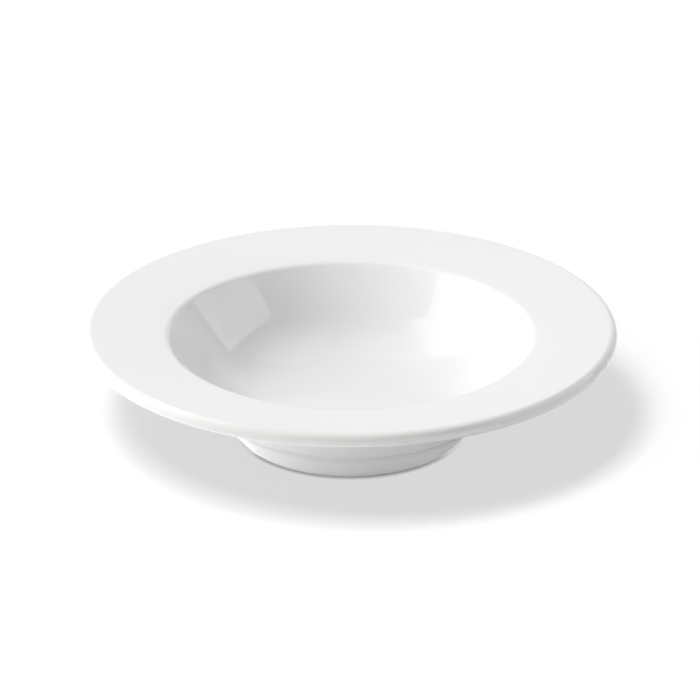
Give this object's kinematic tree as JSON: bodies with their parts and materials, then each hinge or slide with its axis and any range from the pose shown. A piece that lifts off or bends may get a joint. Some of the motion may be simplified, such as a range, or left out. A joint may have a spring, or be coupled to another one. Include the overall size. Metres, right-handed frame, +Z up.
{
  "type": "cereal bowl",
  "caption": "Round white porcelain bowl with a conical well, a wide gently rising rim, a thick rounded lip and a flared foot, for serving cereal.",
  "frame": {"origin": "on the surface that the bowl stands on, under the middle of the bowl", "axes": "+Z up along the bowl's axis of turning, out of the well; X and Y are alike"},
  "size_m": [0.2, 0.2, 0.0445],
  "materials": {
    "porcelain": "matte",
    "glaze": "gloss"
  },
  "bodies": {
    "root": {"bowl_body": "porcelain", "foot_ring": "porcelain", "glaze_coat": "glaze", "foot_recess_glaze": "glaze"}
  },
  "joints": []
}
